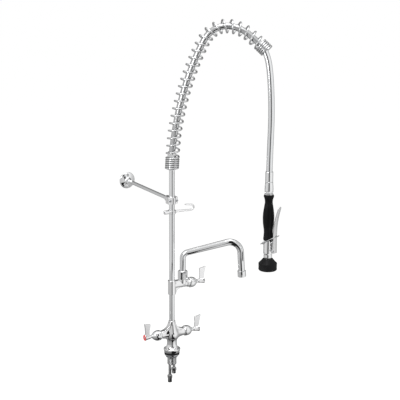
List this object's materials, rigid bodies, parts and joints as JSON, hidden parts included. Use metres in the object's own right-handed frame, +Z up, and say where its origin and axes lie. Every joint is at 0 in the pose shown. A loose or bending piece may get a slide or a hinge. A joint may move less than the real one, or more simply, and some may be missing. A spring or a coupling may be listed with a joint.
{
  "type": "pre rinse faucet",
  "caption": "Deck mounted pre-rinse faucet: mixing base, riser with wall rod, swinging pot filler spout, sprung hose arch and hanging squeeze spray valve.",
  "frame": {"origin": "on the riser's axis in the plane of the deck, at the top of the exposed shank under the base seal", "axes": "+Z up the riser, +Y to the wall, hot valve at -X and cold valve at +X"},
  "size_m": [0.3694, 0.5253, 1.1396],
  "materials": {
    "chrome": "polished chrome plate",
    "spring_steel": "bright plated spring wire",
    "hose_steel": "smooth stainless hose jacket",
    "handle_chrome": "bright die cast handles",
    "red_index": "moulded ring",
    "blue_index": "moulded ring",
    "grey_index": "moulded ring",
    "black_grip": "soft moulded sleeve",
    "black_rubber": "moulded rubber",
    "ceramic": "cartridge",
    "zinc_steel": "zinc plated steel"
  },
  "bodies": {
    "base": {"base_body": "chrome", "deck_seal": "black_rubber", "shank": "chrome", "under_deck_washer": "zinc_steel", "clamp_washer": "black_rubber", "lock_nut": "zinc_steel", "hot_tail": "chrome", "cold_tail": "chrome", "hot_tail_fitting": "chrome", "cold_tail_fitting": "chrome", "hot_bonnet": "chrome", "hot_cartridge": "ceramic", "cold_bonnet": "chrome", "cold_cartridge": "ceramic", "filler_bonnet": "chrome", "filler_cartridge": "ceramic", "lower_riser": "chrome", "upper_riser": "chrome", "tee_body": "chrome", "spout_nut": "chrome", "spout_seal": "black_rubber", "clamp_front": "chrome", "clamp_back": "chrome", "clamp_screws": "zinc_steel", "wall_rod": "chrome", "wall_flange": "chrome", "finger_hook": "chrome", "hook_set_screw": "zinc_steel", "hose_adapter": "chrome"},
    "hot_handle": {"hot_handle": "handle_chrome", "hot_spindle": "chrome", "hot_index": "red_index", "hot_handle_screw": "zinc_steel"},
    "cold_handle": {"cold_handle": "handle_chrome", "cold_spindle": "chrome", "cold_index": "blue_index", "cold_handle_screw": "zinc_steel"},
    "filler_handle": {"filler_handle": "handle_chrome", "filler_spindle": "chrome", "filler_index": "grey_index", "filler_handle_screw": "zinc_steel"},
    "spout": {"spout_tube": "chrome", "spout_collar": "chrome", "aerator_housing": "chrome", "aerator_insert": "grey_index"},
    "spring_foot": {"spring_seat": "chrome"},
    "gooseneck": {"spring": "spring_steel", "upper_hose": "hose_steel"},
    "hanging_hose": {"lower_hose": "hose_steel"},
    "hose_end": {"hose_ferrule": "chrome"},
    "spray_valve": {"swivel_nut": "chrome", "grip_collar": "chrome", "spray_body": "chrome", "grip": "black_grip", "spray_face": "zinc_steel", "spray_bumper": "black_rubber", "lever_pin": "chrome"},
    "squeeze_lever": {"squeeze_lever": "chrome"},
    "plunger": {"plunger": "zinc_steel"},
    "hold_clip": {"hold_clip": "chrome"}
  },
  "joints": [
    {"name": "hot_turn", "type": "hinge", "parent": "base", "child": "hot_handle", "pos_m": [-0.08, 0, 0.0665], "axis": [1, 0, 0], "range_deg": [0, 90]},
    {"name": "cold_turn", "type": "hinge", "parent": "base", "child": "cold_handle", "pos_m": [0.08, 0, 0.0665], "axis": [1, 0, 0], "range_deg": [0, 90]},
    {"name": "filler_turn", "type": "hinge", "parent": "base", "child": "filler_handle", "pos_m": [0.097, 0, 0.223], "axis": [1, 0, 0], "range_deg": [0, 90]},
    {"name": "spout_swing", "type": "hinge", "parent": "base", "child": "spout", "pos_m": [0.038, 0, 0.25], "axis": [0, 0, 1], "range_deg": [-115, 170]},
    {"name": "spring_turn", "type": "hinge", "parent": "base", "child": "spring_foot", "pos_m": [0, 0, 0.6], "axis": [0, 0, 1], "range_deg": [-40, 40]},
    {"name": "spring_bend", "type": "hinge", "parent": "spring_foot", "child": "gooseneck", "pos_m": [0.00785, -0.0044, 0.7], "axis": [0.4894, 0.8721, 0], "range_deg": [-8, 25], "stiffness_Nm_per_rad": 19, "springref_deg": -11.46, "deforming": ["spring", "upper_hose"]},
    {"name": "hose_plumb", "type": "hinge", "parent": "gooseneck", "child": "hanging_hose", "pos_m": [0.22461, -0.14737, 0.966], "axis": [0.4894, 0.8721, 0], "range_deg": [-25, 8]},
    {"name": "spray_tilt", "type": "hinge", "parent": "hanging_hose", "child": "hose_end", "pos_m": [0.24115, -0.17225, 0.65], "axis": [0.4894, 0.8721, 0], "range_deg": [-35, 6], "deforming": ["lower_hose"]},
    {"name": "spray_swivel", "type": "hinge", "parent": "hose_end", "child": "spray_valve", "pos_m": [0.24073, -0.17178, 0.552], "axis": [0, 0, 1], "continuous": true},
    {"name": "lever_squeeze", "type": "hinge", "parent": "spray_valve", "child": "squeeze_lever", "pos_m": [0.25005, -0.19116, 0.348], "axis": [-0.9011, -0.4337, 0], "range_deg": [0, 5], "stiffness_Nm_per_rad": 20, "springref_deg": -1.15},
    {"name": "plunger_slide", "type": "slide", "parent": "spray_valve", "child": "plunger", "axis": [-0.4337, 0.9011, 0], "range_m": [0, 0.0022]},
    {"name": "clip_turn", "type": "hinge", "parent": "spray_valve", "child": "hold_clip", "pos_m": [0.23314, -0.15602, 0.366], "axis": [-0.9011, -0.4337, 0], "range_deg": [-45, 0]}
  ],
  "couplings": [
    {"joint": "hose_plumb", "follows": "spring_bend", "ratio": -1},
    {"joint": "plunger_slide", "follows": "lever_squeeze", "m_per_rad": 0.025}
  ]
}
